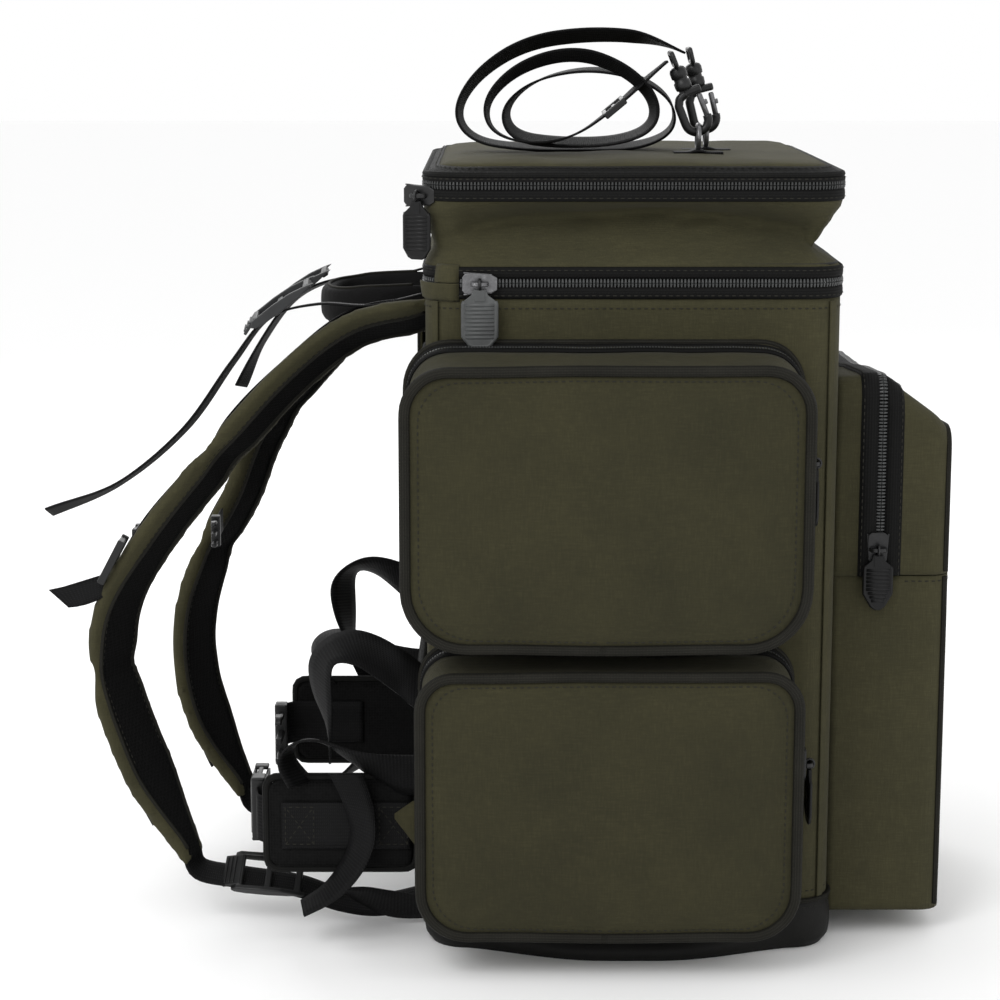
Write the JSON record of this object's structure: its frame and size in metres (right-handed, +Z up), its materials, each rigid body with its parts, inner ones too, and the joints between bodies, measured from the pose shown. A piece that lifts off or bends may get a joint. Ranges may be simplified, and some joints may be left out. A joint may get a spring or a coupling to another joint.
{
  "type": "tackle backpack",
  "caption": "Boxy fishing tackle backpack with side and front pockets, a deep zipped lid, padded shoulder straps, hip fins and a clip-on carry strap.",
  "frame": {"origin": "centre of the main bag's underside, on the floor", "axes": "+Z up, +X towards the front pocket, away from the wearer; the wearer's left is -Y"},
  "size_m": [0.7004, 0.49, 0.7009],
  "materials": {
    "olive_fabric": "dark olive woven polyester, matte",
    "black_fabric": "black coated polyester",
    "black_webbing": "black polypropylene webbing",
    "pad_fabric": "olive padded cloth, black mesh on the inner face",
    "black_mesh": "black air mesh",
    "zip_tape": "black zip tape with moulded teeth",
    "zip_teeth": "black moulded teeth",
    "slider_metal": "grey painted zinc",
    "puller_rubber": "grey moulded rubber-like plastic",
    "puller_black": "black moulded plastic",
    "buckle_plastic": "black acetal, slight sheen",
    "stiffener": "black polyethylene sheet",
    "ring_metal": "black painted steel"
  },
  "bodies": {
    "root": {"back_pads": "black_mesh", "back_panel": "olive_fabric", "base_board": "stiffener", "base_panel": "black_fabric", "belt_slack_loops": "black_webbing", "frame_sheet": "stiffener", "front_panel": "olive_fabric", "front_pocket_tub": "olive_fabric", "grab_handle": "black_fabric", "ladder_locks": "buckle_plastic", "left_pocket_tubs": "olive_fabric", "left_shoulder_pad": "pad_fabric", "left_side_panel": "olive_fabric", "load_lifter_straps": "black_webbing", "lower_straps": "black_webbing", "main_zip_body_tape": "zip_tape", "pocket_zip_chains": "zip_teeth", "right_pocket_tubs": "olive_fabric", "right_shoulder_pad": "pad_fabric", "right_side_panel": "olive_fabric", "sternum_buckle_female": "buckle_plastic", "sternum_buckle_male": "buckle_plastic", "sternum_straps": "black_webbing"},
    "lid": {"lid_box": "olive_fabric", "main_zip_lid_tape": "zip_tape", "top_zip_lower_tape": "zip_tape"},
    "top_lid": {"top_lid": "olive_fabric", "top_zip_upper_tape": "zip_tape", "carry_rings": "ring_metal", "ring_tabs": "black_fabric", "carry_strap": "black_webbing", "near_snap_hook": "buckle_plastic", "far_snap_hook": "buckle_plastic"},
    "near_gate": {"near_hook_gate": "buckle_plastic"},
    "far_gate": {"far_hook_gate": "buckle_plastic"},
    "left_fin": {"left_hip_fin": "black_fabric", "left_belt_webbing": "black_webbing", "belt_buckle_female": "buckle_plastic"},
    "right_fin": {"right_hip_fin": "black_fabric", "right_belt_webbing": "black_webbing", "belt_buckle_male": "buckle_plastic"},
    "front_flap": {"front_pocket_flap": "olive_fabric"},
    "left_upper_cover": {"left_upper_pocket_cover": "olive_fabric"},
    "left_lower_cover": {"left_lower_pocket_cover": "olive_fabric"},
    "right_upper_cover": {"right_upper_pocket_cover": "olive_fabric"},
    "right_lower_cover": {"right_lower_pocket_cover": "olive_fabric"},
    "main_slider": {"main_zip_slider": "slider_metal"},
    "main_puller": {"main_zip_puller": "puller_rubber"},
    "top_slider": {"top_zip_slider": "slider_metal"},
    "top_puller": {"top_zip_puller": "puller_rubber"},
    "front_slider": {"front_zip_slider": "slider_metal"},
    "front_puller": {"front_zip_puller": "puller_black"},
    "left_upper_slider": {"left_upper_zip_slider": "slider_metal"},
    "left_upper_puller": {"left_upper_zip_puller": "puller_black"},
    "left_lower_slider": {"left_lower_zip_slider": "slider_metal"},
    "left_lower_puller": {"left_lower_zip_puller": "puller_black"},
    "right_upper_slider": {"right_upper_zip_slider": "slider_metal"},
    "right_upper_puller": {"right_upper_zip_puller": "puller_black"},
    "right_lower_slider": {"right_lower_zip_slider": "slider_metal"},
    "right_lower_puller": {"right_lower_zip_puller": "puller_black"}
  },
  "joints": [
    {"name": "lid_hinge", "type": "hinge", "parent": "root", "child": "lid", "pos_m": [-0.1575, 0, 0.52], "axis": [0, -1, 0], "range_deg": [0, 75]},
    {"name": "top_lid_hinge", "type": "hinge", "parent": "lid", "child": "top_lid", "pos_m": [-0.1575, 0, 0.592], "axis": [0, -1, 0], "range_deg": [0, 60]},
    {"name": "main_zip_slide", "type": "slide", "parent": "root", "child": "main_slider", "axis": [1, 0, 0], "range_m": [0, 0.22]},
    {"name": "main_puller_swing", "type": "hinge", "parent": "main_slider", "child": "main_puller", "pos_m": [-0.115, -0.1845, 0.52], "axis": [-1, 0, 0], "range_deg": [0, 120]},
    {"name": "top_zip_turn", "type": "hinge", "parent": "lid", "child": "top_slider", "pos_m": [-0.127, -0.145, 0.584], "axis": [0, 0, 1], "range_deg": [0, 38]},
    {"name": "top_puller_swing", "type": "hinge", "parent": "top_slider", "child": "top_puller", "pos_m": [-0.16188, -0.16354, 0.5836], "axis": [-0.4695, 0.8829, 0], "range_deg": [0, 90]},
    {"name": "front_zip_slide", "type": "slide", "parent": "root", "child": "front_slider", "axis": [0, 0, 1], "range_m": [0, 0.085]},
    {"name": "front_puller_swing", "type": "hinge", "parent": "front_slider", "child": "front_puller", "pos_m": [0.19025, -0.1485, 0.312], "axis": [-1, 0, 0], "range_deg": [0, 90]},
    {"name": "left_upper_zip_slide", "type": "slide", "parent": "root", "child": "left_upper_slider", "axis": [0, 0, 1], "range_m": [0, 0.028]},
    {"name": "left_upper_puller_swing", "type": "hinge", "parent": "left_upper_slider", "child": "left_upper_puller", "pos_m": [0.1365, -0.1845, 0.386], "axis": [0, -1, 0], "range_deg": [0, 90]},
    {"name": "left_upper_cover_hinge", "type": "hinge", "parent": "root", "child": "left_upper_cover", "pos_m": [0, -0.245, 0.256], "axis": [1, 0, 0], "range_deg": [0, 90]},
    {"name": "left_lower_zip_slide", "type": "slide", "parent": "root", "child": "left_lower_slider", "axis": [0, 0, 1], "range_m": [0, 0.034]},
    {"name": "left_lower_puller_swing", "type": "hinge", "parent": "left_lower_slider", "child": "left_lower_puller", "pos_m": [0.1365, -0.1845, 0.153], "axis": [0, -1, 0], "range_deg": [0, 90]},
    {"name": "left_lower_cover_hinge", "type": "hinge", "parent": "root", "child": "left_lower_cover", "pos_m": [0, -0.245, 0.028], "axis": [1, 0, 0], "range_deg": [0, 90]},
    {"name": "right_upper_zip_slide", "type": "slide", "parent": "root", "child": "right_upper_slider", "axis": [0, 0, 1], "range_m": [0, 0.028]},
    {"name": "right_upper_puller_swing", "type": "hinge", "parent": "right_upper_slider", "child": "right_upper_puller", "pos_m": [0.1365, 0.1845, 0.386], "axis": [0, -1, 0], "range_deg": [0, 90]},
    {"name": "right_upper_cover_hinge", "type": "hinge", "parent": "root", "child": "right_upper_cover", "pos_m": [0, 0.245, 0.256], "axis": [-1, 0, 0], "range_deg": [0, 90]},
    {"name": "right_lower_zip_slide", "type": "slide", "parent": "root", "child": "right_lower_slider", "axis": [0, 0, 1], "range_m": [0, 0.034]},
    {"name": "right_lower_puller_swing", "type": "hinge", "parent": "right_lower_slider", "child": "right_lower_puller", "pos_m": [0.1365, 0.1845, 0.153], "axis": [0, -1, 0], "range_deg": [0, 90]},
    {"name": "right_lower_cover_hinge", "type": "hinge", "parent": "root", "child": "right_lower_cover", "pos_m": [0, 0.245, 0.028], "axis": [-1, 0, 0], "range_deg": [0, 90]},
    {"name": "front_flap_hinge", "type": "hinge", "parent": "root", "child": "front_flap", "pos_m": [0.248, 0, 0.29], "axis": [0, 1, 0], "range_deg": [0, 95]},
    {"name": "left_fin_hinge", "type": "hinge", "parent": "root", "child": "left_fin", "pos_m": [-0.158, -0.15, 0.095], "axis": [0, 0, -1], "range_deg": [-30, 25]},
    {"name": "right_fin_hinge", "type": "hinge", "parent": "root", "child": "right_fin", "pos_m": [-0.158, 0.15, 0.095], "axis": [0, 0, 1], "range_deg": [-30, 25]},
    {"name": "near_gate_hinge", "type": "hinge", "parent": "top_lid", "child": "near_gate", "pos_m": [0.05395, -0.062, 0.65554], "axis": [0, 1, 0], "range_deg": [0, 22], "stiffness_Nm_per_rad": 0.01},
    {"name": "far_gate_hinge", "type": "hinge", "parent": "top_lid", "child": "far_gate", "pos_m": [0.06631, -0.022, 0.65531], "axis": [0, 1, 0], "range_deg": [0, 22], "stiffness_Nm_per_rad": 0.01}
  ]
}
